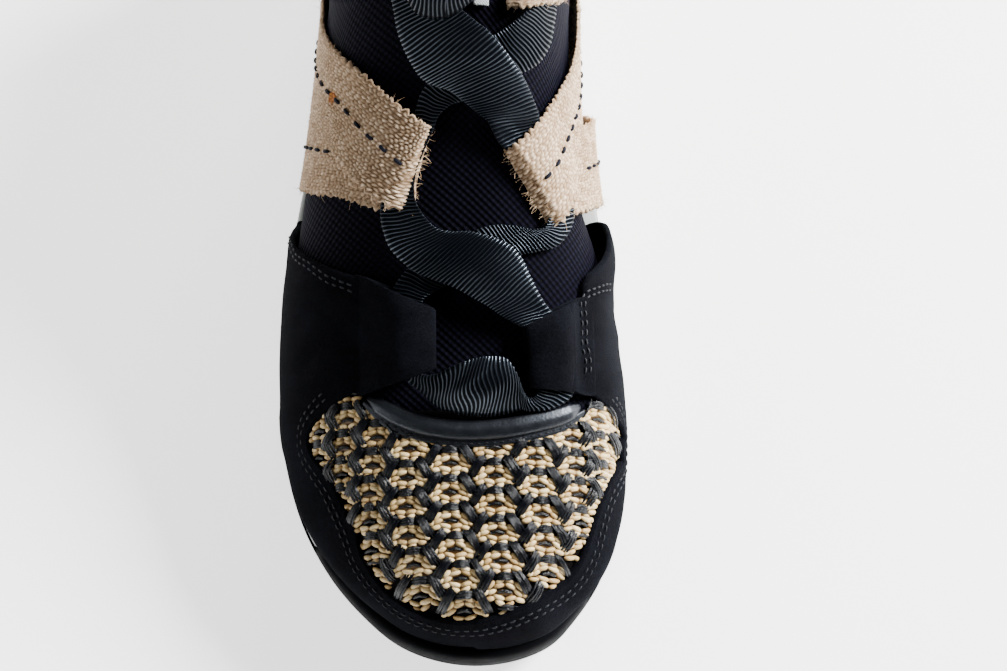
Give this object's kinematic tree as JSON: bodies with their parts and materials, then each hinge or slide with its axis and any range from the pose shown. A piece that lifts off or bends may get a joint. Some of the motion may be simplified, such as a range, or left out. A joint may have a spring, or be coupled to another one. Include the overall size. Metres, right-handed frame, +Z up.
{
  "type": "sport sandal",
  "caption": "Closed-toe sport sandal for the right foot: mesh bootie on a lugged sole, suede mudguard, woven toe panel, webbing straps with loops and a wide ribbon lace.",
  "frame": {"origin": "on the ground under the middle of the shoe's box", "axes": "-Y towards the toe, +Y towards the heel, +X towards the inner (medial) side, +Z up"},
  "size_m": [0.1026, 0.268, 0.133],
  "materials": {
    "rubber_black": "satin moulded rubber",
    "foam_grey": "matte foam",
    "board_tan": "matte woven board",
    "mesh_navy": "coarse knitted mesh",
    "suede_black": "napped suede",
    "raffia_natural": "woven straw, glossy black strands",
    "leather_black": "smooth gloss leather",
    "jute_webbing": "coarse jute webbing with frayed edges",
    "ribbon_black": "ribbed ribbon with a soft sheen",
    "tab_grey": "plain woven tape"
  },
  "bodies": {
    "root": {"outsole": "rubber_black", "midsole": "foam_grey", "insole": "board_tan", "inner_bootie": "mesh_navy", "mudguard": "suede_black", "toe_panel": "raffia_natural", "throat_piping": "leather_black", "lace_tunnel_lateral": "suede_black", "lace_tunnel_medial": "suede_black", "strap_front_lateral": "jute_webbing", "strap_front_medial": "jute_webbing", "strap_ankle_lateral": "jute_webbing", "strap_ankle_medial": "jute_webbing", "ribbon_lace": "ribbon_black", "tongue_tab": "tab_grey"}
  },
  "joints": []
}
